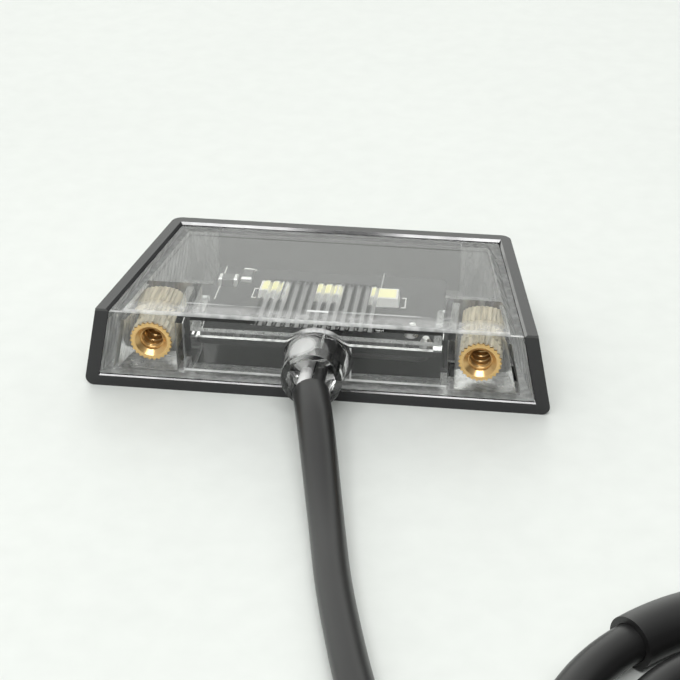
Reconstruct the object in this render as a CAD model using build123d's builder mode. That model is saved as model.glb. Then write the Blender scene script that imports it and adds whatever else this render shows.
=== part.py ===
from build123d import *

import os
from math import cos, hypot, pi, radians, sin, tan

os.makedirs("parts", exist_ok=True)

# Sizes in millimetres, angles in degrees. The lamp lies on its cover's floor: X runs along the lamp,
# the screw inserts and the lead face -Y, and the light shines up through the lens.

# Cover: a tray with an open front, whose side and back walls lean in
base_width = 65.0
back_width = 54.3
base_depth = 31.4
height = 12.3
wall_lean = 11.2
cover_wall = 1.8
cover_floor = 2.0
cover_corner = 1.6
cover_bottom_round = 1.2
rim_bevel = 0.4

# Lens moulding
lens_clearance = 0.1
lens_plate = 1.5
lens_skirt = 1.7
lens_border_drop = 0.35
lens_corner = 0.8
lens_edge_round = 0.4
front_wall = 1.6
chamber_width = 36.2
chamber_wall = 0.9
pocket_back = 1.0
sill_depth = 3.6
sill_height = 0.9
sill_gap = 0.25
ledge_height = 0.95
ledge_front = 1.0
ledge_side = 1.2
flute_count = 13
flute_pitch = 1.25
flute_land = 0.05
flute_depth = 0.1
flute_length = 10.7
flute_shift = -0.35

# Cable boss on the lens, and the clear sealant from its open end to the lead
boss_shift = 0.4
boss_height = 6.5
boss_diameter = 8.8
boss_length = 5.8
boss_taper = 3.0
boss_recess_diameter = 6.6
boss_recess = 2.6
seal_length = 4.0
seal_tip_wall = 0.25
seal_drop = 0.2
jacket_grip = 1.0

# Threaded inserts
insert_spacing = 45.0
insert_height = 7.8
insert_diameter = 5.9
insert_length = 8.8
insert_proud = 0.3
insert_fit = 0.05
insert_end_gap = 0.2
insert_thread_bore = 3.3
insert_countersink = 0.6
insert_groove = 1.2
knurl_teeth = 26
knurl_depth = 0.3
block_wall = 0.45
block_end = 0.1
block_slot = 0.6

# Light board
board_side_gap = 0.6
board_depth = 18.6
board_thickness = 1.0
board_corner = 1.0
board_front_gap = 0.2
board_top = 8.2
led_length = 3.5
led_width = 2.8
led_height = 1.2
led_pitch = 7.9
led_shift = 0.4
led_setback = 13.1
led_rim = 0.3
phosphor_depth = 0.3
phosphor_proud = 0.05
resistor_size = (1.6, 3.2, 0.6)
resistor_inset = 4.7
resistor_setback = 17.6
diode_size = (2.8, 1.7, 1.1)
diode_inset = 2.2
diode_setback = 15.4
chip_bevel = 0.12

# Cores and solder joints
core_diameter = 1.7
core_pitch = 1.9
core_drop = 0.2
core_fit = 0.05
core_bend = 2.0
core_top_run = 0.04
core_end_gap = 0.45
joint_setback = 4.7
joint_stagger = 1.9
white_joint_inset = 3.9
dark_joint_inset = 1.7
joint_diameter = 1.9
joint_top_diameter = 0.9
joint_height = 0.9
joint_pin_diameter = 0.8
pin_fit = 0.05

# Lead
cable_diameter = 4.6
cable_shift = 0.4
run_share = 0.45
cable_fit = 0.05
sleeve_diameter = 6.2
lead_length = 8.0
lead_turn = 26.0
lead_splay = 4.0
lead_gap = 0.45
tip_length = 4.0
tip_diameter = 1.1

# Derived places
lean = tan(radians(wall_lean))
nose_length = boss_length + seal_length
back_round_loss = cover_bottom_round * (lean + 1 / cos(radians(wall_lean)) - 1)
front_y = (nose_length - base_depth + back_round_loss) / 2
back_y = front_y + base_depth
side_slope = (base_width - back_width) / 2 / base_depth
side_stretch = hypot(1, side_slope)
lens_inset = (cover_wall + lens_clearance) / cos(radians(wall_lean))
skirt_inset = lens_inset + lens_skirt / cos(radians(wall_lean))
border_top = height - lens_border_drop
plate_bottom = height - lens_plate
sill_top = cover_floor + sill_height
insert_hole_depth = insert_length - insert_proud + insert_end_gap
block_width = insert_diameter + 2 * block_wall
pocket_depth = insert_hole_depth + block_end
pocket_end = front_y + pocket_depth
chamber_end = pocket_end + pocket_back
chamber_front = front_y + front_wall
chamber_inside = chamber_width - 2 * chamber_wall
flute_radius = ((flute_pitch - flute_land) ** 2 / 4 + flute_depth**2) / (2 * flute_depth)
board_length = chamber_inside - 2 * board_side_gap
board_bottom = board_top - board_thickness
board_front = chamber_front + board_front_gap
core_height = boss_height - core_drop

front_plane = Plane(origin=(0, front_y, 0), x_dir=(1, 0, 0), z_dir=(0, 1, 0))
boss_plane = Plane(origin=(boss_shift, front_y, boss_height), x_dir=(1, 0, 0), z_dir=(0, -1, 0))
boss_end_plane = boss_plane.offset(boss_length)
recess_plane = boss_end_plane.offset(-boss_recess)
insert_plane = Plane(origin=(0, front_y, insert_height), x_dir=(1, 0, 0), z_dir=(0, -1, 0))

# Lead route: from inside the sealant, down to the table and away from the lamp
cable_start = (boss_shift + cable_shift, front_y - nose_length + jacket_grip, boss_height)
rest = cable_diameter / 2
lead_in = [
    cable_start,
    (1.65, -23.0, 6.3),
    (2.9, -28.4, 5.2),
    (4.5, -35.8, 3.6),
    (6.2, -43.8, 2.6),
    (8.1, -53.3, 2.4),
    (10.5, -62.5, rest),
    (12.7, -70.3, rest),
    (16.0, -79.8, rest),
    (20.8, -89.8, rest),
    (26.2, -98.6, rest),
]

# Loose flat loops beyond the lamp's front right corner, each turn inside the last
loop_centre = (62.8, -83.5)
loop_radius = 36.9
loop_step = 6.5
loop_points_a_turn = 14
loop_start_angle = 222.4
loop_points = 27
loop_points_before_sleeve = 9
sleeve_points = 2


def half_width(y, inset):
    """Half of the tray form's width at a depth, set in from its outer walls."""
    return base_width / 2 - side_slope * (y - front_y) - side_stretch * inset


def tray_form(inset, bottom, top, mode=Mode.ADD):
    """The leaning tray form between two heights, set in from the cover's outer walls.

    It starts a full base depth before the front plane, so that the front stays open."""
    set_in = inset + bottom * lean
    fore = front_y - base_depth
    back = back_y - set_in
    with BuildSketch(Plane.XY.offset(bottom)) as outline:
        with BuildLine():
            Polyline(
                (-half_width(fore, set_in), fore),
                (half_width(fore, set_in), fore),
                (half_width(back, set_in), back),
                (-half_width(back, set_in), back),
                close=True,
            )
        make_face()
    extrude(outline.sketch, amount=top - bottom, taper=wall_lean, mode=mode)


def back_corners(builder):
    """The two slanted edges between a tray form's back and side walls."""
    rows = builder.faces().sort_by(Axis.Y)[-1].edges().group_by(Axis.X)
    return rows[0] + rows[-1]


def corner_radii(points):
    """The largest smooth arc at each inner point of a route, from its share of the shorter run."""
    radii = []
    for before, here, after in zip(points, points[1:], points[2:]):
        first = Vector(here) - Vector(before)
        second = Vector(after) - Vector(here)
        half_turn = radians(first.get_angle(second)) / 2
        radii.append(run_share * min(first.length, second.length) / tan(half_turn))
    return radii


def loop_point(index):
    """A point of the loops, counted from the first, on a spiral that closes in turn by turn.

    The lead lies on the table, and its sleeve does where it has one."""
    turn = index / loop_points_a_turn
    angle = radians(loop_start_angle) + 2 * pi * turn
    radius = loop_radius - loop_step * turn
    near_sleeve = -1 <= index - loop_points_before_sleeve <= sleeve_points
    lift = sleeve_diameter / 2 if near_sleeve else rest
    return (loop_centre[0] + radius * cos(angle), loop_centre[1] + radius * sin(angle), lift)


def middle(first, second):
    """The point halfway between two route points."""
    return tuple((a + b) / 2 for a, b in zip(first, second))


def write(builder, name):
    """Label a finished piece and write it."""
    builder.part.label = name
    export_step(builder.part, f"parts/{name}.step")


# Cover
with BuildPart() as cover:
    tray_form(0, 0, height)
    split(bisect_by=front_plane, keep=Keep.TOP)
    fillet(back_corners(cover), radius=cover_corner)
    fillet(cover.faces().sort_by(Axis.Z)[0].edges().sort_by(Axis.Y)[1:], radius=cover_bottom_round)
    tray_form(cover_wall / cos(radians(wall_lean)), cover_floor, height, mode=Mode.SUBTRACT)
    inner_rows = cover.edges(Select.LAST).group_by(Axis.Z)
    rim = inner_rows[-1].sort_by(SortBy.LENGTH)[-3:]
    floor_edge = inner_rows[0].sort_by(Axis.Y)[0]
    rim_drop = rim_bevel / (sin(radians(wall_lean)) + cos(radians(wall_lean)))
    chamfer(rim, length=rim_bevel, length2=rim_drop, reference=cover.faces().sort_by(Axis.Z)[-1])
    chamfer(floor_edge, length=rim_bevel)
write(cover, "cover")

# Insert blocks: as the tray form leans, with a slot left between them and the skirts
block_bottom = sill_top + sill_gap
with BuildPart() as insert_blocks:
    tray_form(skirt_inset + block_slot, block_bottom, plate_bottom)
    split(bisect_by=front_plane.offset(pocket_depth), keep=Keep.BOTTOM)
    with Locations((0, front_y, block_bottom)):
        Box(insert_spacing - block_width, 2 * base_depth, 2 * height, mode=Mode.SUBTRACT)

# The lens moulding's hollow: the chamber over the board and the two pockets beside the insert blocks.
# What is taken out of this hollow is left standing in the lens.
wall_height = plate_bottom - cover_floor
from_front = (Align.CENTER, Align.MIN, Align.MIN)
with BuildPart() as lens_hollow:
    tray_form(skirt_inset, cover_floor, plate_bottom)
    with Locations((0, front_y, cover_floor)):
        Box(chamber_width, front_wall, wall_height, align=from_front, mode=Mode.SUBTRACT)
        Box(base_width, sill_depth, sill_height, align=from_front, mode=Mode.SUBTRACT)
    wall_x = (chamber_width - chamber_wall) / 2
    with Locations((-wall_x, front_y, cover_floor), (wall_x, front_y, cover_floor)):
        Box(chamber_wall, chamber_end - front_y, wall_height, align=from_front, mode=Mode.SUBTRACT)
    back_x = (base_width + chamber_width) / 4
    with Locations((-back_x, pocket_end, cover_floor), (back_x, pocket_end, cover_floor)):
        Box((base_width - chamber_width) / 2, pocket_back, wall_height, align=from_front, mode=Mode.SUBTRACT)
    add(insert_blocks.part, mode=Mode.SUBTRACT)

# Lens: plate, skirts, board ledge, flutes over the lamps, insert blocks and cable boss in one moulding
with BuildPart() as lens:
    tray_form(lens_inset, cover_floor, border_top)
    fillet(back_corners(lens), radius=lens_corner)
    tray_form(skirt_inset, border_top, height)
    split(bisect_by=front_plane, keep=Keep.TOP)
    top_front = lens.faces().sort_by(Axis.Z)[-1].edges().sort_by(Axis.Y)[0]
    fillet(top_front, radius=lens_edge_round)
    add(lens_hollow.part, mode=Mode.SUBTRACT)

    with BuildSketch(Plane.XY.offset(board_top)):
        with Locations((0, chamber_front)):
            Rectangle(chamber_inside, chamber_end - chamber_front, align=(Align.CENTER, Align.MIN))
        with Locations((0, chamber_front + ledge_front)):
            Rectangle(
                chamber_inside - 2 * ledge_side,
                chamber_end - chamber_front,
                align=(Align.CENTER, Align.MIN),
                mode=Mode.SUBTRACT,
            )
    extrude(amount=ledge_height)

    flute_plane = Plane(origin=(flute_shift, chamber_front, plate_bottom), x_dir=(1, 0, 0), z_dir=(0, 1, 0))
    with BuildSketch(flute_plane):
        with Locations((0, flute_depth - flute_radius)):
            with GridLocations(flute_pitch, 0, flute_count, 1):
                Circle(flute_radius)
        flutes_width = flute_pitch * flute_count + 2 * flute_radius
        Rectangle(flutes_width, 2 * flute_radius, align=(Align.CENTER, Align.MAX), mode=Mode.SUBTRACT)
    extrude(amount=flute_length)

    with BuildSketch(boss_plane):
        Circle(boss_diameter / 2)
    extrude(amount=boss_length, taper=boss_taper)
    with BuildSketch(recess_plane):
        Circle(boss_recess_diameter / 2)
    extrude(amount=boss_recess, mode=Mode.SUBTRACT)
    with BuildSketch(boss_end_plane):
        with Locations((-core_pitch / 2, -core_drop), (core_pitch / 2, -core_drop)):
            Circle(core_diameter / 2 + core_fit)
    extrude(amount=-(boss_length + front_wall), mode=Mode.SUBTRACT)

    with Locations(insert_plane):
        with GridLocations(insert_spacing, 0, 2, 1):
            Hole(insert_diameter / 2 + insert_fit, depth=insert_hole_depth)
write(lens, "lens")

# Sealant: lies half way up the boss's recess and reaches out to the lead, which it grips from below
exit_line = (Vector(lead_in[1]) - Vector(lead_in[0])).normalized()
tip_center = Vector(cable_start) + exit_line * (jacket_grip / -exit_line.Y)
with BuildPart() as cable_seal:
    with BuildSketch(recess_plane):
        Circle(boss_recess_diameter / 2)
    with BuildSketch(Plane(origin=tip_center, x_dir=(1, 0, 0), z_dir=(0, -1, 0))):
        Circle(cable_diameter / 2 + seal_tip_wall)
    loft()
    split(bisect_by=Plane.XY.offset(boss_height - seal_drop), keep=Keep.BOTTOM)
    with BuildSketch(Plane(origin=cable_start, z_dir=exit_line)):
        Circle(cable_diameter / 2 + cable_fit)
    extrude(amount=jacket_grip * 2, mode=Mode.SUBTRACT)
    with BuildSketch(recess_plane):
        with Locations((-core_pitch / 2, -core_drop), (core_pitch / 2, -core_drop)):
            Circle(core_diameter / 2 + core_fit)
    extrude(amount=boss_recess + seal_length - jacket_grip, mode=Mode.SUBTRACT)
write(cable_seal, "cable_seal")

# Threaded inserts: two knurled bands with a groove between
knurl_root = insert_diameter / 2 - knurl_depth
knurl_band = (insert_length - insert_groove) / 2
tooth_base = 2 * pi * knurl_root / knurl_teeth
for side, name in ((-1, "insert_left"), (1, "insert_right")):
    mouth = Plane(
        origin=(side * insert_spacing / 2, front_y - insert_proud, insert_height),
        x_dir=(1, 0, 0),
        z_dir=(0, 1, 0),
    )
    with BuildPart() as insert:
        with BuildSketch(mouth):
            Circle(knurl_root)
        extrude(amount=insert_length)
        for start in (0, knurl_band + insert_groove):
            with BuildSketch(mouth.offset(start)):
                with PolarLocations(0, knurl_teeth):
                    Polygon(
                        (0, 0),
                        (knurl_root, -tooth_base / 2),
                        (insert_diameter / 2, 0),
                        (knurl_root, tooth_base / 2),
                        align=None,
                    )
            extrude(amount=knurl_band)
        with BuildSketch(mouth):
            Circle(insert_thread_bore / 2)
        extrude(amount=insert_length, mode=Mode.SUBTRACT)
        bore_mouth = insert.edges().filter_by(GeomType.CIRCLE).group_by(Axis.Y)[0].sort_by(SortBy.RADIUS)[0]
        chamfer(bore_mouth, length=insert_countersink)
    write(insert, name)

# Board, held up under the lens's ledge
white_joint = (board_length / 2 - white_joint_inset, front_y + joint_setback + joint_stagger / 2)
dark_joint = (board_length / 2 - dark_joint_inset, front_y + joint_setback - joint_stagger / 2)
with BuildPart() as circuit_board:
    with BuildSketch(Plane.XY.offset(board_bottom)):
        with Locations((0, board_front + board_depth / 2)):
            RectangleRounded(board_length, board_depth, board_corner)
        with Locations(white_joint, dark_joint):
            Circle(joint_pin_diameter / 2 + pin_fit, mode=Mode.SUBTRACT)
    extrude(amount=board_thickness)
write(circuit_board, "circuit_board")

# Light-emitting diodes: a pale body with a shallow window, filled with phosphor
on_board = (Align.CENTER, Align.CENTER, Align.MIN)
window_length = led_length - 2 * led_rim
window_width = led_width - 2 * led_rim
window_bottom = board_top + led_height - phosphor_depth
for place, name in ((-1, "left"), (0, "middle"), (1, "right")):
    led_x = led_shift + place * led_pitch
    led_y = front_y + led_setback
    with BuildPart() as led:
        with Locations((led_x, led_y, board_top)):
            Box(led_length, led_width, led_height, align=on_board)
        with Locations((led_x, led_y, window_bottom)):
            Box(window_length, window_width, phosphor_depth, align=on_board, mode=Mode.SUBTRACT)
    write(led, f"led_{name}")
    with BuildPart() as phosphor:
        with Locations((led_x, led_y, window_bottom)):
            Box(window_length, window_width, phosphor_depth + phosphor_proud, align=on_board)
        fillet(phosphor.edges().filter_by(Axis.Z), radius=led_rim)
    write(phosphor, f"phosphor_{name}")

# Chips beside the lamps
chips = (
    ("resistor", resistor_size, resistor_inset, resistor_setback),
    ("diode", diode_size, diode_inset, diode_setback),
)
for name, size, inset, setback in chips:
    with BuildPart() as chip:
        with Locations((inset - board_length / 2, front_y + setback, board_top)):
            Box(*size, align=on_board)
        chamfer(chip.faces().sort_by(Axis.Z)[-1].edges(), length=chip_bevel)
    write(chip, name)

# Cores: from the jacket's end through the boss, under the board and up to its joints
for side, joint, name in ((-1, white_joint, "white"), (1, dark_joint, "dark")):
    core_x = boss_shift + side * core_pitch / 2
    with BuildPart() as core:
        with BuildLine() as core_path:
            FilletPolyline(
                (core_x, cable_start[1] + core_end_gap, core_height),
                (core_x, joint[1], core_height),
                (joint[0], joint[1], core_height),
                (joint[0], joint[1], board_bottom),
                radius=[core_bend, board_bottom - core_height - core_top_run],
            )
        with BuildSketch(Plane(origin=core_path.line @ 0, z_dir=core_path.line % 0)):
            Circle(core_diameter / 2)
        sweep()
    write(core, f"core_{name}")
    with BuildPart() as solder:
        with Locations((*joint, board_top)):
            Cone(joint_diameter / 2, joint_top_diameter / 2, joint_height, align=on_board)
        with Locations((*joint, board_bottom)):
            Cylinder(joint_pin_diameter / 2, board_thickness, align=on_board)
    write(solder, f"solder_{name}")

# Lead jacket: one tube from the sealant through the loops
route = lead_in + [loop_point(index) for index in range(loop_points)]
radii = corner_radii(route)
with BuildPart() as cable:
    with BuildLine() as cable_path:
        FilletPolyline(*route, radius=radii)
    with BuildSketch(Plane(origin=cable_path.line @ 0, z_dir=cable_path.line % 0)):
        Circle(cable_diameter / 2)
    sweep()
write(cable, "cable")
cable_length = sum(edge.length for edge in cable_path.edges())
print("lead radii", [round(radius, 1) for radius in radii])
print("lead length", round(cable_length, 1))
cable_section = pi * cable_diameter**2 / 4
print("lead volume", round(cable.part.volume), "section by length", round(cable_section * cable_length))

# Shrink sleeve on the lead, round two points of the loops
sleeve_start = len(lead_in) + loop_points_before_sleeve
sleeve_end = sleeve_start + sleeve_points
with BuildPart() as cable_sleeve:
    with BuildLine() as sleeve_path:
        FilletPolyline(
            middle(*route[sleeve_start - 1 : sleeve_start + 1]),
            *route[sleeve_start:sleeve_end],
            middle(*route[sleeve_end - 1 : sleeve_end + 1]),
            radius=radii[sleeve_start - 1 : sleeve_end - 1],
        )
    with BuildSketch(Plane(origin=sleeve_path.line @ 0, z_dir=sleeve_path.line % 0)):
        Circle(sleeve_diameter / 2)
        Circle(cable_diameter / 2 + cable_fit, mode=Mode.SUBTRACT)
    sweep()
write(cable_sleeve, "cable_sleeve")

# Lead's far end: two cores side by side out of the jacket, with bare tips
end_line = (Vector(route[-1]) - Vector(route[-2])).normalized()
for side, name in ((-1, "white"), (1, "dark")):
    across = end_line.rotate(Axis.Z, 90) * (side * core_pitch / 2)
    start = Vector(route[-1]) + end_line * lead_gap + across
    heading = end_line.rotate(Axis.Z, lead_turn + side * lead_splay)
    with BuildPart() as lead_end:
        with BuildSketch(Plane(origin=start, z_dir=heading)):
            Circle(core_diameter / 2)
        extrude(amount=lead_length)
    write(lead_end, f"lead_end_{name}")
    with BuildPart() as lead_tip:
        with BuildSketch(Plane(origin=start + heading * lead_length, z_dir=heading)):
            Circle(tip_diameter / 2)
        extrude(amount=tip_length)
    write(lead_tip, f"lead_tip_{name}")
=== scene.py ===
"""Dresses a number plate lamp: clear lens moulding, black tray, brass inserts, light board and lead."""

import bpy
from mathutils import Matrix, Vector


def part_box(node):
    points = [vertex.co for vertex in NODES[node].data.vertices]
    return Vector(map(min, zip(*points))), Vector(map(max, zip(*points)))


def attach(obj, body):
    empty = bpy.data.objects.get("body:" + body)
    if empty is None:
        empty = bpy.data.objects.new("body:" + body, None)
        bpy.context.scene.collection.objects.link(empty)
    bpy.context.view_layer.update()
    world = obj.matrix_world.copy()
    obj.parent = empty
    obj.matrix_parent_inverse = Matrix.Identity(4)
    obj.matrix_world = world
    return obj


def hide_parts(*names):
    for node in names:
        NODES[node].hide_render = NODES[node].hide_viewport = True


bl_info = {
    "name": "Number plate lamp",
    "version": (1, 0, 0),
    "blender": (4, 5, 0),
    "location": "View3D > Sidebar > Lamp",
    "description": "Gives the number plate lamp its finishes, threads, lead and stage",
    "category": "Object",
}

from functools import reduce
from math import cos, pi, radians, sin

import bmesh
import bpy
from bpy.props import FloatProperty, FloatVectorProperty, IntProperty, PointerProperty
from mathutils import Vector

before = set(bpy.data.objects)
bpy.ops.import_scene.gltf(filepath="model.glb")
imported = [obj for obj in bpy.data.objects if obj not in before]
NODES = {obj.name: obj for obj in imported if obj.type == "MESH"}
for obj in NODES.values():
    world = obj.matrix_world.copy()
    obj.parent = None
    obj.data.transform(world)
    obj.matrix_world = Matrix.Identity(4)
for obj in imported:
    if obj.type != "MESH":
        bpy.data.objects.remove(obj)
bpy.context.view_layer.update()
MM = 0.001

COVER_LOW, COVER_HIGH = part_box("cover")
LENS_LOW, LENS_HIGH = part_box("lens")
SEAL_LOW, SEAL_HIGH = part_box("cable_seal")
BOARD_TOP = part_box("circuit_board")[1].z
CORE_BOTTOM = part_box("core_white")[0].z
FRONT_Y = COVER_LOW.y
INSERTS = ("insert_left", "insert_right")

# Sizes of the solids that their boxes don't give
RIM_BEVEL = 0.4 * MM
FLOOR_TOP = 2.0 * MM
SILL_TOP = 2.9 * MM
PLATE_BOTTOM = 10.8 * MM
CHAMBER_HALF = 18.1 * MM
FLUTES_HALF = 8.8 * MM
FLUTE_PITCH = 1.25 * MM
FLUTE_SHIFT = -0.35 * MM
LEDGE_HEIGHT = 0.95 * MM
LEDGE_END = 2.65 * MM
LENS_EDGE_ROUND = 0.4 * MM
SKIRT_INSIDE = 28.78 * MM
SKIRT_SLOPE = 0.1704
SKIRT_LEAN = 0.2009
INSERT_CENTRE = Vector((22.5, 0.0, 7.8)) * MM
BORE_RADIUS = 1.65 * MM
COUNTERSINK = 0.6 * MM
CORE_RADIUS = 0.85 * MM
CORE_PITCH = 1.9 * MM
CORE_HEIGHT = CORE_BOTTOM + CORE_RADIUS
BOSS_CENTRE = Vector((0.4, 0.0, 6.5)) * MM
BOSS_RADIUS = 4.4 * MM
BOSS_RECESS = 2.6 * MM
RECESS_END = LENS_LOW.y + BOSS_RECESS
SEAL_TIP_RADIUS = 2.55 * MM
LIGHTS_MIDDLE = 0.4 * MM

# The pieces that are united with the lens
MERGE_DISTANCE = 0.0005 * MM
SEAT_OVERLAP = 0.3 * MM
FINE_OVERLAP = 0.1 * MM
CORE_SEAT_END = 1.5 * MM
FILLET_STEPS = 6

# The drop of white sealant in the boss, and how far its underside is drawn to the core
DAB_CENTRE = Vector((-1.2, -12.5, 8.4)) * MM
DAB_RADIUS = 1.7 * MM
DAB_SAG = 0.4

# Margins by which a point counts as on a face or off it
ON_FACE = 0.01 * MM
OFF_FACE = 0.02 * MM

# Places of the white hazes on the lens, most of them painted light: depths are counted from its front,
# heights from the table
SKIRT_MARGIN = 0.05 * MM
FOOT_HEIGHT = 0.1 * MM
POST_ASIDE = (CHAMBER_HALF - 0.05 * MM, CHAMBER_HALF + 0.3 * MM)
POST_DEPTH = 1.6 * MM
# The flutes, which are rougher, and the painted light streaks on them
FLUTE_HEIGHTS = (PLATE_BOTTOM - 0.15 * MM, PLATE_BOTTOM - 0.005 * MM)
FLUTE_LIT_SIDE = (-0.5, 0.7)
FLUTE_FADE = (10.0 * MM, 13.0 * MM)
FLUTE_FADE_SHARE = 0.85
# Painted light along the top's front, and painted highlight lines behind it
TOP_FADE = (1.5 * MM, 3.3 * MM)
STEP_DEPTHS = (2.9 * MM, 3.25 * MM)
DASH_DEPTHS = (2.7 * MM, 3.15 * MM)
DASH_ACROSS = (-1.3 * MM, 1.6 * MM)
FENCE_DEPTHS = (11.6 * MM, 16.1 * MM)
FENCE_ACROSS = (7.8 * MM, 8.0 * MM)
FRONT_ENDS = (18.0 * MM, 20.0 * MM)
# Painted highlight lines along the front face's window
RAIL_HEIGHTS = (3.35 * MM, 3.7 * MM)
UPRIGHT_HEIGHTS = (3.35 * MM, 8.6 * MM)
UPRIGHT_ACROSS = (4.85 * MM, 5.1 * MM)
# The painted highlight on the boss's root, and the spot of painted light over the white dab
ROOT_MARGIN = 0.05 * MM
ROOT_RISE = (3.9 * MM, 4.5 * MM)
SPOT_CENTRE = Vector((-1.3, -14.0, 10.55)) * MM
SPOT_INSIDE = 1.5 * MM
SPOT_OUTSIDE = 2.4 * MM

# Places on the tray's rim, the board, its chips and the inserts
RIM_POLISH = 0.9 * RIM_BEVEL
PRINT_ACROSS = (-15.6 * MM, -15.4 * MM)
PRINT_AWAY = (0.1 * MM, 10.8 * MM)
BRACKET_REACH = 10.55 * MM
BRACKET_ARM = 0.6 * MM
BRACKET_ARM_WIDTH = 0.3 * MM
BRACKET_FRONT = 1.0 * MM
BRACKET_BACK = 3.9 * MM
BRACKET_HALF_WIDTH = 0.1 * MM
CHIP_END = 0.5 * MM
FILM_MARGIN = 0.2 * MM
THREAD_INSET = 0.2 * MM

# Scales of the noise in the black mouldings
MOULD_GRAIN = 2500.0
MOULD_CLOUD = 120.0

# The lead in metres, and the share by which it gets thicker and thinner
LEAD_RADIUS = 2.3 * MM
LEAD_EXIT = (0.00104, -0.02047, 0.00644)
LEAD_SWELL = 0.06

# Its route in millimetres: from inside the sealant to the table, then loose loops
LEAD_REST = 2.3
LEAD_SWELL_RUN = 32.0
LEAD_IN = [
    (0.8, -19.47, 6.5),
    (1.65, -23.0, 6.3),
    (2.9, -28.4, 5.2),
    (4.5, -35.8, 3.6),
    (6.2, -43.8, 2.6),
    (8.1, -53.3, 2.4),
    (10.5, -62.5, LEAD_REST),
    (12.7, -70.3, LEAD_REST),
    (16.0, -79.8, LEAD_REST),
    (20.8, -89.8, LEAD_REST),
    (26.2, -98.6, LEAD_REST),
]
LOOP_CENTRE = (62.8, -83.5)
LOOP_RADIUS = 36.9
LOOP_STEP = 6.5
LOOP_POINTS_A_TURN = 14
LOOP_START_ANGLE = 222.4
LOOP_POINTS = 27
LOOP_POINTS_BEFORE_SLEEVE = 9
SLEEVE_POINTS = 2
SLEEVE_REST = 3.1

# The stage in metres and degrees, with the camera's sensor in millimetres
TABLE_HALF = 4.0
CAMERA_PLACE = (0.0283, -0.2068, 0.1255)
CAMERA_DIP = 30.35
CAMERA_TURN = 7.19
SENSOR_WIDTH = 36.0
CLIP_START = 0.01
PANELS = (("left_panel", -0.31, 0.28), ("right_panel", 0.18, 0.54))
PANEL_AWAY = -0.58
PANEL_UP = 1.05
PANEL_TILT = 29.0
FRONT_LAMP_PLACE = (0.12, -0.85, 0.62)
FRONT_LAMP_WIDTH = 0.2
FRONT_LAMP_HEIGHT = 0.12
FRONT_LAMP_DIP = 36
FRONT_LAMP_TURN = 8

# Where the room's light changes, in directions of length 1 from the lamp
WALL_AWAY = (0.1, 0.7)
WALL_TOP = (0.6, 0.9)
CEILING_EDGE = (0.7, 0.95)
ROOM_SIDES = (-0.7, 0.7)
CORNER_ACROSS = (0.08, 0.2)
CORNER_TOP = (0.38, 0.46)
CORNER_SHADE = 0.85


class StageSettings(bpy.types.PropertyGroup):
    """Camera, table and light."""

    focal_length: FloatProperty(name="Focal length", description="Camera lens", default=90.0, unit="CAMERA")
    table_colour: FloatVectorProperty(
        name="Table",
        description="Colour of the table",
        subtype="COLOR",
        size=3,
        default=(0.805, 0.835, 0.805),
    )
    room_light: FloatVectorProperty(
        name="Room light",
        description="Light from all round",
        subtype="COLOR",
        size=3,
        default=(0.38, 0.38, 0.38),
    )
    ceiling_light: FloatVectorProperty(
        name="Ceiling light",
        description="Light from above",
        subtype="COLOR",
        size=3,
        default=(1.12, 1.12, 1.10),
    )
    window_light: FloatVectorProperty(
        name="Window light",
        description="Light from the low bright wall behind the lamp",
        subtype="COLOR",
        size=3,
        default=(1.6, 1.63, 1.57),
    )
    panel_light: FloatProperty(
        name="Panel light", description="Brightness of the two ceiling panels", default=13.0, min=0.0
    )
    front_light: FloatProperty(
        name="Front light", description="Brightness of the small lamp above the camera", default=10.0, min=0.0
    )
    panel_height: FloatProperty(
        name="Panel height", description="Short side of the ceiling panels", default=0.18, unit="LENGTH"
    )


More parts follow.
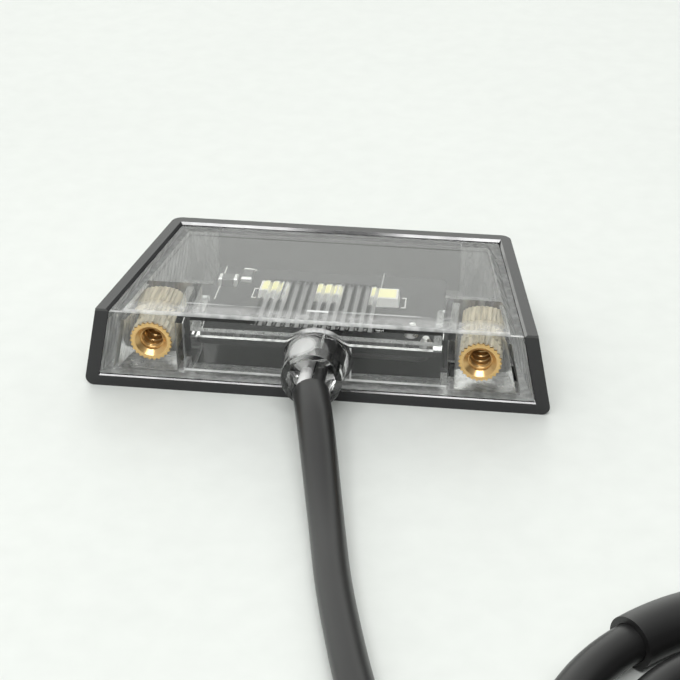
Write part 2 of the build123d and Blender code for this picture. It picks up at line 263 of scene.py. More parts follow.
class FinishSettings(bpy.types.PropertyGroup):
    """Colours of the lamp's materials."""

    cover: FloatVectorProperty(
        name="Cover", description="Black moulding", subtype="COLOR", size=3, default=(0.016, 0.016, 0.017)
    )
    lens: FloatVectorProperty(
        name="Lens", description="Clear moulding", subtype="COLOR", size=3, default=(0.985, 0.99, 0.985)
    )
    # The lens's white haze is mostly painted light: highlights, light streaks, a bright spot and the light in
    # its walls.
    haze: FloatVectorProperty(
        name="Haze", description="Marks on the lens", subtype="COLOR", size=3, default=(0.90, 0.91, 0.90)
    )
    brass: FloatVectorProperty(
        name="Brass", description="Inserts", subtype="COLOR", size=3, default=(0.84, 0.56, 0.24)
    )
    brass_film: FloatVectorProperty(
        name="Brass film", description="Inserts' outside", subtype="COLOR", size=3, default=(0.96, 0.88, 0.68)
    )
    board: FloatVectorProperty(
        name="Board", description="Solder mask", subtype="COLOR", size=3, default=(0.012, 0.012, 0.014)
    )
    print_white: FloatVectorProperty(
        name="Print", description="Lines on the board", subtype="COLOR", size=3, default=(0.75, 0.75, 0.73)
    )
    package: FloatVectorProperty(
        name="Package", description="Light packages", subtype="COLOR", size=3, default=(0.96, 0.96, 0.92)
    )
    phosphor: FloatVectorProperty(
        name="Phosphor", description="Light windows", subtype="COLOR", size=3, default=(0.98, 0.94, 0.50)
    )
    chip: FloatVectorProperty(
        name="Chip", description="Bodies of the chips", subtype="COLOR", size=3, default=(0.03, 0.03, 0.03)
    )
    tin: FloatVectorProperty(
        name="Tin", description="Ends of the chips", subtype="COLOR", size=3, default=(0.85, 0.85, 0.83)
    )
    solder: FloatVectorProperty(
        name="Solder", description="Bright solder", subtype="COLOR", size=3, default=(0.8, 0.8, 0.78)
    )
    solder_dull: FloatVectorProperty(
        name="Dull solder", description="Dull patches", subtype="COLOR", size=3, default=(0.55, 0.55, 0.54)
    )
    core_white: FloatVectorProperty(
        name="White core", description="White insulation", subtype="COLOR", size=3, default=(0.94, 0.94, 0.93)
    )
    core_dark: FloatVectorProperty(
        name="Dark core", description="Dark insulation", subtype="COLOR", size=3, default=(0.02, 0.02, 0.02)
    )
    jacket: FloatVectorProperty(
        name="Jacket", description="Lead jacket", subtype="COLOR", size=3, default=(0.011, 0.011, 0.011)
    )


class DetailSettings(bpy.types.PropertyGroup):
    """Sizes of the details that are added to the solids."""

    thread_pitch: FloatProperty(
        name="Thread pitch", description="Insert thread", default=0.45 * MM, unit="LENGTH", precision=5
    )
    thread_depth: FloatProperty(
        name="Thread depth", description="Height of a ridge", default=0.22 * MM, unit="LENGTH", precision=5
    )
    thread_turns: IntProperty(name="Thread turns", description="Turns in one insert", default=17, min=1)
    boss_fillet: FloatProperty(
        name="Boss fillet",
        description="Hollow round at the boss's root",
        default=0.6 * MM,
        unit="LENGTH",
        precision=5,
    )
    contact: FloatProperty(
        name="Contact",
        description="How far metal and cores sink into the clear moulding",
        default=0.03 * MM,
        unit="LENGTH",
        precision=6,
    )
    air_gap: FloatProperty(
        name="Air gap",
        description="Air between the clear moulding and what it stands on",
        default=0.05 * MM,
        unit="LENGTH",
        precision=6,
    )


class Term:
    """A value in a node tree, on which Python's operators add Math nodes."""

    def __init__(self, nodes, socket):
        self.nodes = nodes
        self.socket = socket

    def __add__(self, other):
        return self.nodes.math("ADD", self, other)

    def __sub__(self, other):
        return self.nodes.math("SUBTRACT", self, other)

    def __rsub__(self, other):
        return self.nodes.math("SUBTRACT", other, self)

    def __mul__(self, other):
        return self.nodes.math("MULTIPLY", self, other)

    def __gt__(self, other):
        return self.nodes.math("GREATER_THAN", self, other)

    def __lt__(self, other):
        return self.nodes.math("LESS_THAN", self, other)

    __rmul__ = __mul__

    def larger(self, other):
        return self.nodes.math("MAXIMUM", self, other)

    def between(self, low, high):
        """1 between two values, and 0 outside them."""
        return (self > low) * (self < high)

    def ramp(self, low, high):
        """A smooth step from 0 at one value to 1 at another."""
        settings = {"interpolation_type": "SMOOTHSTEP"}
        node = self.nodes.add("ShaderNodeMapRange", settings, Value=self, From_Min=low, From_Max=high)
        return Term(self.nodes, node.outputs["Result"])


class Nodes:
    """A node tree under construction."""

    def __init__(self, tree):
        self.tree = tree

    def put(self, value, socket):
        """Set a socket to a plain value, or link it."""
        if isinstance(value, Term):
            self.tree.links.new(value.socket, socket)
        elif isinstance(value, bpy.types.NodeSocket):
            self.tree.links.new(value, socket)
        else:
            socket.default_value = value

    def add(self, kind, settings=None, **sockets):
        """One node of a kind, with its settings made first and then its sockets."""
        node = self.tree.nodes.new(kind)
        for name, value in (settings or {}).items():
            setattr(node, name, value)
        for name, value in sockets.items():
            self.put(value, node.inputs[name.replace("_", " ")])
        return node

    def math(self, operation, *values):
        node = self.add("ShaderNodeMath", {"operation": operation})
        for value, socket in zip(values, node.inputs):
            self.put(value, socket)
        return Term(self, node.outputs[0])

    def place(self, kind="Object"):
        """Texture coordinates as a vector socket."""
        return self.add("ShaderNodeTexCoord").outputs[kind]

    def axes(self, kind="Object"):
        """Texture coordinates as three values."""
        split = self.add("ShaderNodeSeparateXYZ", Vector=self.place(kind))
        return [Term(self, split.outputs[axis]) for axis in "XYZ"]

    def noise(self, scale, detail=3.0, stretch=(1.0, 1.0, 1.0)):
        place = self.add("ShaderNodeMapping", Vector=self.place(), Scale=stretch).outputs[0]
        node = self.add("ShaderNodeTexNoise", Vector=place, Scale=scale, Detail=detail)
        return Term(self, node.outputs["Fac"])

    def mix(self, factor, first, second):
        """A colour between two colours."""
        node = self.add("ShaderNodeMix", {"data_type": "RGBA"})
        self.put(factor, node.inputs["Factor"])
        self.put(first, node.inputs[6])
        self.put(second, node.inputs[7])
        return node.outputs[2]

    def bump(self, height, strength, distance):
        node = self.add("ShaderNodeBump", Height=height, Strength=strength, Distance=distance)
        return node.outputs["Normal"]


class Finish(Nodes):
    """A material under construction, with one Principled shader."""

    def __init__(self, name):
        self.material = bpy.data.materials.new(name)
        self.material.use_nodes = True
        super().__init__(self.material.node_tree)
        self.shader = self.tree.nodes["Principled BSDF"]

    def principled(self, **sockets):
        for name, value in sockets.items():
            self.put(value, self.shader.inputs[name.replace("_", " ")])
        return self.material

    def haze_over(self, colour, factor):
        """Lay a dull white haze over the shader, as much of it as the factor says."""
        haze = self.add("ShaderNodeBsdfDiffuse", Color=rgba(colour))
        blend = self.add("ShaderNodeMixShader", Fac=factor)
        self.put(self.shader.outputs[0], blend.inputs[1])
        self.put(haze.outputs[0], blend.inputs[2])
        self.put(blend.outputs[0], self.tree.nodes["Material Output"].inputs["Surface"])


class LensFinish(Finish):
    """The lens's material, with its faces and the hazes on them found by their places; most hazes are painted
    light.
    """

    def __init__(self, name):
        super().__init__(name)
        self.across, self.away, self.up = self.axes()
        self.aside = self.math("ABSOLUTE", self.across)
        self.depth = self.away - FRONT_Y
        self.inside = self.depth > OFF_FACE
        self.under = (self.up < PLATE_BOTTOM - OFF_FACE) * self.inside
        self.on_top = self.up > LENS_HIGH.z - ON_FACE
        self.ends = (self.aside > CHAMBER_HALF + ON_FACE) * self.under
        self.sill = (self.up < SILL_TOP + OFF_FACE) * self.inside
        self.flutes = self.up.between(*FLUTE_HEIGHTS) * (self.aside < FLUTES_HALF) * self.inside
        self.streaks = self.noise(scale=900.0, stretch=(1.0, 1.0, 0.12)).ramp(0.3, 0.75)
        self.dashes = self.noise(scale=150.0, stretch=(1.0, 0.1, 0.1)).ramp(0.35, 0.6)

    def haze(self, mask, even, streaks=0.0):
        """A haze on a place, even or with upright streaks as well."""
        strength = self.streaks * streaks + even if streaks else even
        return mask * strength

    def wall_hazes(self):
        """Painted light on the skirts, the end walls, the sill, the ledge, the walls' feet and the front
        corner posts; the skirts and end walls are frosted too.
        """
        skirt_place = self.aside + self.depth * SKIRT_SLOPE + self.up * SKIRT_LEAN
        skirt = (skirt_place > SKIRT_INSIDE - SKIRT_MARGIN) * self.under
        ledge_height = self.up.between(BOARD_TOP, BOARD_TOP + LEDGE_HEIGHT + ON_FACE)
        ledge = ledge_height * (self.depth < LEDGE_END) * self.inside
        foot = (self.up < LENS_LOW.z + FOOT_HEIGHT) * self.inside
        post = self.aside.between(*POST_ASIDE) * (self.depth < POST_DEPTH) * self.under
        return [
            self.haze(skirt, even=0.2, streaks=0.7),
            self.haze(self.ends, even=0.05, streaks=0.35),
            self.haze(self.sill, even=0.15, streaks=0.2),
            self.haze(ledge, even=0.2, streaks=0.2),
            self.haze(foot, even=0.6, streaks=0.4),
            self.haze(post, even=0.3, streaks=0.4),
        ]

    def plate_hazes(self):
        """Painted light on the top's front edge, painted highlights in the lines behind it, painted light
        streaks on the flutes, and the line at their end.
        """
        edge = (self.depth < LENS_EDGE_ROUND) * (self.up > LENS_HIGH.z - LENS_EDGE_ROUND)
        top_front_light = (1.0 - self.depth.ramp(*TOP_FADE)) * self.on_top
        step = self.depth.between(*STEP_DEPTHS) * self.on_top * (self.aside < CHAMBER_HALF)
        dash_highlight = self.depth.between(*DASH_DEPTHS) * self.across.between(*DASH_ACROSS) * self.on_top
        fence = self.depth.between(*FENCE_DEPTHS) * self.across.between(*FENCE_ACROSS)
        wave = self.math("SINE", (self.across - FLUTE_SHIFT) * (2 * pi / FLUTE_PITCH))
        fade = 1.0 - self.depth.ramp(*FLUTE_FADE) * FLUTE_FADE_SHARE
        return [
            self.haze(edge, even=0.35, streaks=0.3),
            self.haze(top_front_light, even=0.17, streaks=0.15),
            self.haze(step * self.dashes, even=0.4),
            self.haze(dash_highlight, even=0.8),
            self.haze(fence * (self.up < PLATE_BOTTOM + OFF_FACE), even=0.6),
            self.haze(self.flutes * wave.ramp(*FLUTE_LIT_SIDE) * fade, even=0.45),
        ]

    def front_hazes(self):
        """On the front face: its two ends, and painted highlights as thin lines along the window's edges, a
        rail and an upright.
        """
        front = self.depth.between(-OFF_FACE, OFF_FACE)
        rail_highlight = self.up.between(*RAIL_HEIGHTS) * (self.aside < CHAMBER_HALF)
        upright = self.across.between(*UPRIGHT_ACROSS) * self.up.between(*UPRIGHT_HEIGHTS)
        return [
            self.haze(front * self.aside.ramp(*FRONT_ENDS), even=0.02, streaks=0.2),
            # Painted highlight lines
            front * rail_highlight.larger(upright) * (self.dashes * 0.3 + 0.5),
        ]

    def boss_hazes(self):
        """A painted highlight on the upper side of the boss's root, and painted light in a round spot on the
        boss over the white dab.
        """
        beside = self.across - BOSS_CENTRE.x
        above = self.up - BOSS_CENTRE.z
        round_boss = (beside * beside + above * above) > (BOSS_RADIUS + ROOT_MARGIN) ** 2
        root = round_boss * (self.depth < -ON_FACE) * above.ramp(*ROOT_RISE)
        places = zip((self.across, self.away, self.up), SPOT_CENTRE)
        offsets = [axis - middle for axis, middle in places]
        squared = reduce(Term.__add__, [offset * offset for offset in offsets])
        return [
            self.haze(root, even=0.45, streaks=0.5),
            self.haze(1.0 - squared.ramp(SPOT_INSIDE**2, SPOT_OUTSIDE**2), even=0.45),
        ]


def rgba(colour):
    return (*colour, 1.0)


def shade(colour, factor):
    return (*(channel * factor for channel in colour), 1.0)


def dress(piece, material):
    """Give a piece one material."""
    piece.data.materials.clear()
    piece.data.materials.append(material)


def moulded_black(name, colour, roughness):
    """Black moulded plastic with a faint grain."""
    finish = Finish(name)
    grain = finish.noise(MOULD_GRAIN)
    cloud = finish.noise(MOULD_CLOUD)
    return finish.principled(
        Base_Color=finish.mix(cloud, rgba(colour), shade(colour, factor=1.5)),
        Roughness=grain * 0.1 + roughness,
        Normal=finish.bump(grain, strength=0.08, distance=0.02 * MM),
    )


def tray_black(name, colour):
    """The tray's satin black, with a polished bevel along its rim and its floor's front edge."""
    finish = Finish(name)
    grain = finish.noise(MOULD_GRAIN)
    cloud = finish.noise(MOULD_CLOUD)
    _, away, up = finish.axes()
    rim = up.between(COVER_HIGH.z - RIM_POLISH, COVER_HIGH.z - ON_FACE)
    floor_edge = up.between(FLOOR_TOP - RIM_BEVEL, FLOOR_TOP)
    bevel = rim.larger(floor_edge * away.between(FRONT_Y + ON_FACE, FRONT_Y + RIM_BEVEL))
    return finish.principled(
        Base_Color=finish.mix(cloud, rgba(colour), shade(colour, factor=1.5)),
        Roughness=(grain * 0.1 + 0.2) * (1.0 - bevel * 0.6),
        Coat_Weight=bevel * (finish.noise(scale=160.0).ramp(0.35, 0.6) * 0.6 + 0.4),
        Coat_Roughness=0.08,
        Normal=finish.bump(grain * (1.0 - bevel), strength=0.08, distance=0.02 * MM),
    )


def clear_moulding(name, colour, haze_colour):
    """Clear plastic with a faint ripple.

    It is dull on the moulded walls of its ends and sill and on its flutes. A white haze lies on it as painted
    light: highlights, light streaks, a bright spot and the light that its walls carry, with frosting on its
    skirts and end walls; there are bubbles in the sealant."""
    finish = LensFinish(name)
    hazes = finish.wall_hazes() + finish.plate_hazes() + finish.front_hazes() + finish.boss_hazes()
    finish.haze_over(haze_colour, reduce(Term.larger, hazes))
    ripple = finish.noise(scale=260.0, detail=1.0)
    sealant = (finish.up < SEAL_HIGH.z + OFF_FACE) * (finish.away < RECESS_END)
    bubbles = finish.noise(scale=2200.0, detail=1.0) * sealant
    return finish.principled(
        Base_Color=rgba(colour),
        Roughness=finish.ends.larger(finish.sill) * 0.2 + finish.flutes * 0.1 + 0.02,
        IOR=1.52,
        Transmission_Weight=1.0,
        Normal=finish.bump(ripple * 0.05 + bubbles, strength=0.6, distance=0.05 * MM),
    )


def turned_brass(name, colour, film_colour):
    """Turned brass with fine marks, and a pale film where the plastic lies on its outside."""
    finish = Finish(name)
    across, away, up = finish.axes()
    marks = finish.noise(scale=3000.0)
    tarnish = finish.noise(scale=350.0)
    aside = finish.math("ABSOLUTE", across) - INSERT_CENTRE.x
    above = up - INSERT_CENTRE.z
    outside = (aside * aside + above * above) > (BORE_RADIUS + COUNTERSINK + FILM_MARGIN) ** 2
    film = outside * (away > FRONT_Y)
    metal = finish.mix(tarnish, rgba(colour), shade(colour, factor=0.75))
    lines = finish.noise(scale=1500.0, stretch=(1.0, 0.1, 1.0)).ramp(0.35, 0.65)
    skin = finish.mix(lines, shade(film_colour, factor=0.7), rgba(film_colour))
    return finish.principled(
        Base_Color=finish.mix(film, metal, skin),
        Metallic=1.0 - film * 0.9 - (1.0 - outside) * 0.3,
        Roughness=marks * 0.12 + film * 0.3 + 0.18,
        Normal=finish.bump(marks, strength=0.1, distance=0.01 * MM),
    )


def plain_plastic(name, colour, roughness, painted_glow=0.0):
    """Plastic, gel or insulation with a little unevenness, and a painted glow: emission that brightens it as
    painted light.
    """
    finish = Finish(name)
    cloud = finish.noise(scale=900.0)
    return finish.principled(
        Base_Color=finish.mix(cloud, rgba(colour), shade(colour, factor=0.9)),
        Roughness=cloud * 0.1 + roughness,
        Emission_Color=rgba(colour),
        Emission_Strength=painted_glow,
    )


def tinned_chip(name, node, colour, tin):
    """A dark chip with bright metal at its two ends."""
    low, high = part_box(node)
    axis = 0 if high.x - low.x > high.y - low.y else 1
    finish = Finish(name)
    along = finish.axes()[axis]
    ends = 1.0 - along.between(low[axis] + CHIP_END, high[axis] - CHIP_END)
    grain = finish.noise(scale=1500.0)
    return finish.principled(
        Base_Color=finish.mix(ends, rgba(colour), rgba(tin)),
        Metallic=ends * 0.6,
        Roughness=grain * 0.1 + 0.35,
    )


def solder_mask(name, colour, print_white):
    """The board's dark mask, with a thin white line at its left and a bracket beside each outer light."""
    finish = Finish(name)
    across, away, up = finish.axes()
    cloud = finish.noise(scale=900.0)
    lines = across.between(*PRINT_ACROSS) * away.between(*PRINT_AWAY)
    front_arm = away.between(BRACKET_FRONT, BRACKET_FRONT + BRACKET_ARM_WIDTH)
    back_arm = away.between(BRACKET_BACK - BRACKET_ARM_WIDTH, BRACKET_BACK)
    arms = front_arm.larger(back_arm)
    for side in (-1, 1):
        outer = LIGHTS_MIDDLE + side * BRACKET_REACH
        low, high = sorted((outer, outer - side * BRACKET_ARM))
        width = across.between(outer - BRACKET_HALF_WIDTH, outer + BRACKET_HALF_WIDTH)
        upright = width * away.between(BRACKET_FRONT, BRACKET_BACK)
        lines = lines.larger(upright).larger(arms * across.between(low, high))
    mask = finish.mix(cloud, rgba(colour), shade(colour, factor=0.8))
    return finish.principled(
        Base_Color=finish.mix(lines * (up > BOARD_TOP - ON_FACE), mask, rgba(print_white)),
        Roughness=cloud * 0.1 + 0.6,
        Specular_IOR_Level=0.25,
    )


def bright_solder(name, colour, dull_colour):
    """Solder and tinned copper."""
    finish = Finish(name)
    cloud = finish.noise(scale=1500.0)
    return finish.principled(
        Base_Color=finish.mix(cloud, rgba(colour), rgba(dull_colour)),
        Metallic=1.0,
        Roughness=cloud * 0.2 + 0.18,
        Normal=finish.bump(cloud, strength=0.3, distance=0.05 * MM),
    )


def put_in_scene(name, data):
    piece = bpy.data.objects.new(name, data)
    bpy.context.scene.collection.objects.link(piece)
    return piece


def evaluated_mesh(piece):
    """What an object's modifiers make, as a plain mesh."""
    depsgraph = bpy.context.evaluated_depsgraph_get()
    depsgraph.update()
    return bpy.data.meshes.new_from_object(piece.evaluated_get(depsgraph))


def merged_copy(node, name):
    """A copy of a CAD node's mesh with its doubles merged."""
    shape = bmesh.new()
    shape.from_mesh(NODES[node].data)
    bmesh.ops.remove_doubles(shape, verts=shape.verts, dist=MERGE_DISTANCE)
    mesh = bpy.data.meshes.new(name)
    shape.to_mesh(mesh)
    shape.free()
    return mesh


def turned(name, profile, centre, segments=96):
    """A closed solid turned about an axis along Y, from a closed profile of (radius, y) points."""
    shape = bmesh.new()
    rings = []
    for radius, y in profile:
        count = segments if radius else 1
        angles = [2 * pi * step / count for step in range(count)]
        places = [(centre.x + radius * cos(angle), y, centre.z + radius * sin(angle)) for angle in angles]
        rings.append([shape.verts.new(place) for place in places])
    for first, second in zip(rings, rings[1:] + rings[:1]):
        if len(first) == len(second) == 1:
            continue
        for step in range(segments):
            round_face = ((first, step), (first, step + 1), (second, step + 1), (second, step))
            corners = [ring[index % len(ring)] for ring, index in round_face]
            shape.faces.new(list(dict.fromkeys(corners)))
    bmesh.ops.recalc_face_normals(shape, faces=shape.faces)
    mesh = bpy.data.meshes.new(name)
    shape.to_mesh(mesh)
    shape.free()
    return mesh


def united(base, tools):
    """The union of a mesh with other meshes, as a plain mesh."""
    piece = put_in_scene("uniting", base)
    helpers = [put_in_scene(f"uniting_{place}", tool) for place, tool in enumerate(tools)]
    for helper in helpers:
        union = piece.modifiers.new(helper.name, "BOOLEAN")
        union.operation = "UNION"
        union.solver = "EXACT"
        union.object = helper
    mesh = evaluated_mesh(piece)
    for spare in (piece, *helpers):
        bpy.data.objects.remove(spare)
    return mesh


def smooth_by_angle(mesh, angle=radians(28)):
    """Shade curved faces smooth and keep corners sharp."""
    shape = bmesh.new()
    shape.from_mesh(mesh)
    for face in shape.faces:
        face.smooth = True
    for edge in shape.edges:
        edge.smooth = len(edge.link_faces) == 2 and edge.calc_face_angle(pi) < angle
    shape.to_mesh(mesh)
    shape.free()


class LAMP_OT_cover(bpy.types.Operator):
    """Finish the black tray"""

    bl_idname = "lamp.cover"
    bl_label = "Cover"

    def execute(self, context):
        dress(NODES["cover"], tray_black("Tray black", context.scene.lamp_finish.cover))
        return {"FINISHED"}


class LAMP_OT_lens(bpy.types.Operator):
    """Make the clear moulding with its sealant in one piece, in contact with the metal and cores in it"""

    bl_idname = "lamp.lens"
    bl_label = "Lens"

    def execute(self, context):
        detail = context.scene.lamp_detail
        tools = [self.insert_seat(node, detail.contact) for node in INSERTS]
        tools += [self.core_seat(side) for side in (-1, 1)]
        tools += [self.boss_root(detail.boss_fillet), self.sealant()]
        mesh = united(self.lifted_lens(detail.air_gap), tools)
        smooth_by_angle(mesh)
        piece = put_in_scene("lens_clear", mesh)
        colours = context.scene.lamp_finish
        dress(piece, clear_moulding("Clear moulding", colours.lens, colours.haze))
        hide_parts("lens", "cable_seal")
        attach(piece, "root")
        return {"FINISHED"}

    def lifted_lens(self, air_gap):
        """The lens with a film of air under its walls and under its ledge, so that they reflect inside."""
        mesh = merged_copy("lens", "lens_clear")
        near = 0.1 * air_gap
        for vertex in mesh.vertices:
            for seat in (LENS_LOW.z, BOARD_TOP):
                if abs(vertex.co.z - seat) < near:
                    vertex.co.z += air_gap
        return mesh

    def insert_seat(self, node, contact):
        """Clear plastic that fills the knurl of an insert and closes its hole behind it."""
        low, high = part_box(node)
        inside = BORE_RADIUS + COUNTERSINK + contact
        outside = (high.x - low.x) / 2 + SEAT_OVERLAP
        front = FRONT_Y + contact
        profile = [
            (inside, front),
            (outside, front),
            (outside, high.y + SEAT_OVERLAP),
            (0, high.y + SEAT_OVERLAP),
            (0, high.y - contact),
            (inside, high.y - contact),
        ]
        return turned(f"{node}_seat", profile, (low + high) / 2)

    def core_seat(self, side):
        """Clear plastic round a core, from the boss's recess to the front wall."""
        centre = Vector((BOSS_CENTRE.x + side * CORE_PITCH / 2, 0, CORE_HEIGHT))
        radius = CORE_RADIUS + FINE_OVERLAP
        start = RECESS_END + FINE_OVERLAP
        end = FRONT_Y + CORE_SEAT_END
        return turned("core_seat", [(0, start), (radius, start), (radius, end), (0, end)], centre)

    def boss_root(self, fillet):
        """The hollow round where the boss meets the front wall."""
        foot = FRONT_Y + FINE_OVERLAP
        angles = [pi / 2 * step / FILLET_STEPS for step in range(FILLET_STEPS + 1)]
        inner = BOSS_RADIUS - fillet
        outer = BOSS_RADIUS + fillet
        hollow = [(outer - fillet * sin(angle), FRONT_Y - fillet * (1 - cos(angle))) for angle in angles]
        profile = [(inner, foot), (outer, foot), *hollow, (inner, FRONT_Y - fillet)]
        return turned("boss_root", profile, BOSS_CENTRE)

    def sealant(self):
        """What lies half way up the boss's recess and reaches out to the lead."""
        radius = (SEAL_HIGH.x - SEAL_LOW.x) / 2
        inside = RECESS_END + SEAT_OVERLAP
        profile = [
            (0, inside),
            (radius, inside),
            (radius, RECESS_END),
            (SEAL_TIP_RADIUS, SEAL_LOW.y),
            (0, SEAL_LOW.y),
        ]
        mesh = turned("sealant", profile, BOSS_CENTRE)
        for vertex in mesh.vertices:
            at_tip = vertex.co.y < (SEAL_LOW.y + RECESS_END) / 2
            if at_tip:
                vertex.co.x += LEAD_EXIT[0] - BOSS_CENTRE.x
        shape = bmesh.new()
        shape.from_mesh(mesh)
        whole = shape.verts[:] + shape.edges[:] + shape.faces[:]
        upward = (0, 0, 1)
        cut = bmesh.ops.bisect_plane(shape, geom=whole, plane_co=SEAL_HIGH, plane_no=upward, clear_outer=True)
        rim = [item for item in cut["geom_cut"] if isinstance(item, bmesh.types.BMEdge)]
        bmesh.ops.contextual_create(shape, geom=rim)
        bmesh.ops.recalc_face_normals(shape, faces=shape.faces)
        shape.to_mesh(mesh)
        shape.free()
        return mesh


class LAMP_OT_inserts(bpy.types.Operator):
    """Finish the brass inserts and cut their threads"""

    bl_idname = "lamp.inserts"
    bl_label = "Inserts"

    def execute(self, context):
        colours = context.scene.lamp_finish
        brass = turned_brass("Turned brass", colours.brass, colours.brass_film)
        for node in INSERTS:
            dress(NODES[node], brass)
        self.threads(context.scene.lamp_detail, brass)
        return {"FINISHED"}

    def threads(self, detail, brass):
        """One helical ridge in each bore."""
        low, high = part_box(INSERTS[0])
        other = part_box(INSERTS[1])[0]
        centre = (low + high) / 2
        start = Vector((centre.x, high.y - THREAD_INSET, centre.z))
        sizes = {
            "Bore": BORE_RADIUS,
            "Pitch": detail.thread_pitch,
            "Depth": detail.thread_depth,
            "Turns": float(detail.thread_turns),
            "Spacing": other.x - low.x,
            "Start": start,
            "Material": brass,
        }
        tree = self.thread_tree()
        piece = put_in_scene("insert_threads", bpy.data.meshes.new("insert_threads"))
        modifier = piece.modifiers.new("Thread", "NODES")
        modifier.node_group = tree
        for item in tree.interface.items_tree:
            if item.in_out == "INPUT":
                modifier[item.identifier] = sizes[item.name]
        mesh = evaluated_mesh(piece)
        piece.modifiers.remove(modifier)
        piece.data = mesh
        smooth_by_angle(mesh)
        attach(piece, "root")

    def thread_tree(self):
        """A tree that sweeps a ridge along a spiral and puts it in both bores."""
        tree = bpy.data.node_groups.new("Insert thread", "GeometryNodeTree")
        for name, kind in (
            ("Bore", "NodeSocketFloat"),
            ("Pitch", "NodeSocketFloat"),
            ("Depth", "NodeSocketFloat"),
            ("Turns", "NodeSocketFloat"),
            ("Spacing", "NodeSocketFloat"),
            ("Start", "NodeSocketVector"),
            ("Material", "NodeSocketMaterial"),
        ):
            tree.interface.new_socket(name, in_out="INPUT", socket_type=kind)
        tree.interface.new_socket("Geometry", in_out="OUTPUT", socket_type="NodeSocketGeometry")
        nodes = Nodes(tree)
        sizes = nodes.add("NodeGroupInput").outputs
        pitch = Term(nodes, sizes["Pitch"])
        turns = Term(nodes, sizes["Turns"])
        spiral = nodes.add(
            "GeometryNodeCurveSpiral",
            Resolution=64,
            Rotations=sizes["Turns"],
            Start_Radius=sizes["Bore"],
            End_Radius=sizes["Bore"],
            Height=pitch * turns,
        )
        ridge = nodes.add("GeometryNodeCurvePrimitiveCircle", Resolution=8, Radius=sizes["Depth"])
        swept = nodes.add(
            "GeometryNodeCurveToMesh", Curve=spiral.outputs[0], Profile_Curve=ridge.outputs[0], Fill_Caps=True
        )
        along = nodes.add("GeometryNodeTransform", Geometry=swept.outputs[0], Rotation=(pi / 2, 0.0, 0.0))
        step = nodes.add("ShaderNodeCombineXYZ", X=sizes["Spacing"])
        bores = nodes.add(
            "GeometryNodeMeshLine", Count=2, Start_Location=sizes["Start"], Offset=step.outputs[0]
        )
        placed = nodes.add("GeometryNodeInstanceOnPoints", Points=bores.outputs[0], Instance=along.outputs[0])
        real = nodes.add("GeometryNodeRealizeInstances", Geometry=placed.outputs[0])
        finished = nodes.add("GeometryNodeSetMaterial", Geometry=real.outputs[0], Material=sizes["Material"])
        nodes.add("NodeGroupOutput", Geometry=finished.outputs[0])
        return tree


class LAMP_OT_board(bpy.types.Operator):
    """Finish the light board and what is on it"""

    bl_idname = "lamp.board"
    bl_label = "Light board"

    def execute(self, context):
        colours = context.scene.lamp_finish
        dress(NODES["circuit_board"], solder_mask("Solder mask", colours.board, colours.print_white))
        # The packages and the phosphor glow as painted light, brighter than the light reaching them through
        # the lens would make them.
        pale = plain_plastic("Light package", colours.package, roughness=0.4, painted_glow=0.1)
        phosphor = plain_plastic("Phosphor", colours.phosphor, roughness=0.35, painted_glow=0.3)
        for place in ("left", "middle", "right"):
            dress(NODES[f"led_{place}"], pale)
            dress(NODES[f"phosphor_{place}"], phosphor)
        for node in ("resistor", "diode"):
            dress(NODES[node], tinned_chip(node.capitalize(), node, colours.chip, colours.tin))
        solder = bright_solder("Solder", colours.solder, colours.solder_dull)
        for node in ("solder_white", "solder_dark", "lead_tip_white", "lead_tip_dark"):
            dress(NODES[node], solder)
        return {"FINISHED"}


class LAMP_OT_cores(bpy.types.Operator):
    """Finish the two cores, and the white dab that seals them in the boss"""

    bl_idname = "lamp.cores"
    bl_label = "Cores"

    def execute(self, context):
        colours = context.scene.lamp_finish
        white = plain_plastic("White core", colours.core_white, roughness=0.35)
        dark = plain_plastic("Dark core", colours.core_dark, roughness=0.35)
        for node in ("core_white", "lead_end_white"):
            dress(NODES[node], white)
        for node in ("core_dark", "lead_end_dark"):
            dress(NODES[node], dark)
        dab = put_in_scene("sealing_dab", self.dab())
        dress(dab, white)
        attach(dab, "root")
        return {"FINISHED"}

    def dab(self):
        """A drop of white sealant that has run down on the white core."""
        shape = bmesh.new()
        bmesh.ops.create_uvsphere(shape, u_segments=48, v_segments=32, radius=DAB_RADIUS)
        core = Vector((BOSS_CENTRE.x - CORE_PITCH / 2, DAB_CENTRE.y, CORE_HEIGHT))
        for vertex in shape.verts:
            low = max(0.0, -vertex.co.z / DAB_RADIUS)
            vertex.co += DAB_CENTRE + (core - DAB_CENTRE) * DAB_SAG * low
        mesh = bpy.data.meshes.new("sealing_dab")
        shape.to_mesh(mesh)
        shape.free()
        smooth_by_angle(mesh)
        return mesh


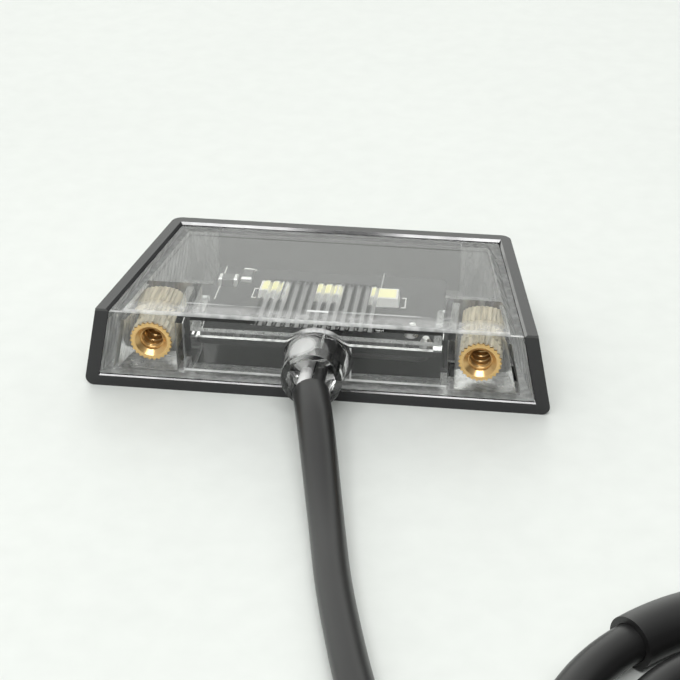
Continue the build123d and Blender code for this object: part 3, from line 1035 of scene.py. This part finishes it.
class LAMP_OT_lead(bpy.types.Operator):
    """Lay the lead along its route and finish its sleeve"""

    bl_idname = "lamp.lead"
    bl_label = "Lead"

    def execute(self, context):
        colours = context.scene.lamp_finish
        route = LEAD_IN + [self.loop_point(index) for index in range(LOOP_POINTS)]
        curve = bpy.data.curves.new("lead", "CURVE")
        curve.dimensions = "3D"
        curve.bevel_depth = LEAD_RADIUS
        curve.bevel_resolution = 10
        curve.resolution_u = 16
        curve.use_fill_caps = True
        spline = curve.splines.new("NURBS")
        spline.points.add(len(route) - 1)
        for point, place in zip(spline.points, route):
            point.co = (*(Vector(place) * MM), 1.0)
            swell = LEAD_SWELL * cos(pi * min(1.0, (route[0][1] - place[1]) / LEAD_SWELL_RUN))
            point.radius = 1.0 if place[2] == SLEEVE_REST else 1.0 + swell
        spline.order_u = 3
        spline.use_endpoint_u = True
        lead = put_in_scene("lead", curve)
        dress(lead, moulded_black("Lead jacket", colours.jacket, roughness=0.3))
        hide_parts("cable")
        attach(lead, "root")
        dress(NODES["cable_sleeve"], moulded_black("Shrink sleeve", colours.jacket, roughness=0.3))
        return {"FINISHED"}

    def loop_point(self, index):
        """A point of the loops, counted from the first, on a spiral that closes in turn by turn."""
        turn = index / LOOP_POINTS_A_TURN
        angle = radians(LOOP_START_ANGLE) + 2 * pi * turn
        radius = LOOP_RADIUS - LOOP_STEP * turn
        near_sleeve = -1 <= index - LOOP_POINTS_BEFORE_SLEEVE <= SLEEVE_POINTS
        lift = SLEEVE_REST if near_sleeve else LEAD_REST
        return (LOOP_CENTRE[0] + radius * cos(angle), LOOP_CENTRE[1] + radius * sin(angle), lift)


class LAMP_OT_stage(bpy.types.Operator):
    """Set the table, the room's light and the camera"""

    bl_idname = "lamp.stage"
    bl_label = "Stage"

    def execute(self, context):
        settings = context.scene.lamp_stage
        self.table(settings)
        self.room(context.scene, settings)
        self.panels(settings)
        self.front_lamp(settings)
        self.camera(context.scene, settings)
        context.scene.view_settings.view_transform = "Standard"
        return {"FINISHED"}

    def table(self, settings):
        """A wide pale table with faint clouds in its colour."""
        half = TABLE_HALF
        mesh = bpy.data.meshes.new("table")
        corners = [(-half, -half, 0), (half, -half, 0), (half, half, 0), (-half, half, 0)]
        mesh.from_pydata(corners, [], [(0, 1, 2, 3)])
        table = put_in_scene("table", mesh)
        finish = Finish("Table")
        cloud = finish.noise(scale=18.0, detail=4.0) * 0.4 + finish.noise(scale=260.0, detail=4.0) * 0.6
        dark_patch = shade(settings.table_colour, factor=0.87)
        material = finish.principled(
            Base_Color=finish.mix(cloud, dark_patch, rgba(settings.table_colour)),
            Roughness=0.5,
        )
        dress(table, material)

    def room(self, scene, settings):
        """A pale room with a bright wall behind the lamp, lighter on the left and dark low on the right."""
        world = bpy.data.worlds.new("Room")
        scene.world = world
        world.use_nodes = True
        nodes = Nodes(world.node_tree)
        across, away, up = nodes.axes("Generated")
        wall = away.ramp(*WALL_AWAY) * (1.0 - up.ramp(*WALL_TOP))
        ceiling = up.ramp(*CEILING_EDGE)
        open_room = nodes.mix(ceiling, rgba(settings.room_light), rgba(settings.ceiling_light))
        light = nodes.mix(wall, open_room, rgba(settings.window_light))
        sides = (1.0 - wall) * (0.5 - across.ramp(*ROOM_SIDES)) + 1.0
        corner = across.ramp(*CORNER_ACROSS) * (1.0 - up.ramp(*CORNER_TOP))
        background = world.node_tree.nodes["Background"]
        nodes.put(light, background.inputs["Color"])
        nodes.put(sides * (1.0 - corner * CORNER_SHADE), background.inputs["Strength"])

    def panels(self, settings):
        """Two panels side by side on the ceiling, between the camera and the lamp."""
        for name, centre, width in PANELS:
            data = bpy.data.lights.new(name, "AREA")
            data.shape = "RECTANGLE"
            data.size = width
            data.size_y = settings.panel_height
            data.energy = settings.panel_light * pi * width * settings.panel_height
            panel = put_in_scene(name, data)
            panel.location = (centre, PANEL_AWAY, PANEL_UP)
            panel.rotation_euler = (radians(PANEL_TILT), 0.0, 0.0)

    def front_lamp(self, settings):
        """A small lamp above the camera."""
        data = bpy.data.lights.new("front_lamp", "AREA")
        data.shape = "RECTANGLE"
        data.size = FRONT_LAMP_WIDTH
        data.size_y = FRONT_LAMP_HEIGHT
        data.energy = settings.front_light * pi * data.size * data.size_y
        lamp = put_in_scene("front_lamp", data)
        lamp.location = FRONT_LAMP_PLACE
        lamp.rotation_euler = (radians(90 - FRONT_LAMP_DIP), 0.0, radians(FRONT_LAMP_TURN))

    def camera(self, scene, settings):
        """The camera at the photograph's view."""
        data = bpy.data.cameras.new("Camera")
        data.lens = settings.focal_length
        data.sensor_width = SENSOR_WIDTH
        data.clip_start = CLIP_START
        camera = put_in_scene("Camera", data)
        camera.location = CAMERA_PLACE
        camera.rotation_euler = (radians(90 - CAMERA_DIP), 0.0, radians(CAMERA_TURN))
        scene.camera = camera


class LAMP_PT_panel(bpy.types.Panel):
    """Lists the steps that dress the lamp"""

    bl_idname = "LAMP_PT_panel"
    bl_label = "Number plate lamp"
    bl_space_type = "VIEW_3D"
    bl_region_type = "UI"
    bl_category = "Lamp"

    def draw(self, context):
        for operator in OPERATORS:
            self.layout.operator(operator.bl_idname)


SETTINGS = {"lamp_stage": StageSettings, "lamp_finish": FinishSettings, "lamp_detail": DetailSettings}
OPERATORS = (
    LAMP_OT_stage,
    LAMP_OT_lead,
    LAMP_OT_cover,
    LAMP_OT_lens,
    LAMP_OT_inserts,
    LAMP_OT_board,
    LAMP_OT_cores,
)
CLASSES = (*SETTINGS.values(), *OPERATORS, LAMP_PT_panel)


def register():
    for cls in CLASSES:
        bpy.utils.register_class(cls)
    for name, group in SETTINGS.items():
        setattr(bpy.types.Scene, name, PointerProperty(type=group))


def unregister():
    for name in SETTINGS:
        delattr(bpy.types.Scene, name)
    for cls in reversed(CLASSES):
        bpy.utils.unregister_class(cls)


def main():
    register()
    bpy.ops.lamp.stage()
    bpy.ops.lamp.lead()
    bpy.ops.lamp.cover()
    bpy.ops.lamp.lens()
    bpy.ops.lamp.inserts()
    bpy.ops.lamp.board()
    bpy.ops.lamp.cores()


if __name__ == "__main__":
    main()
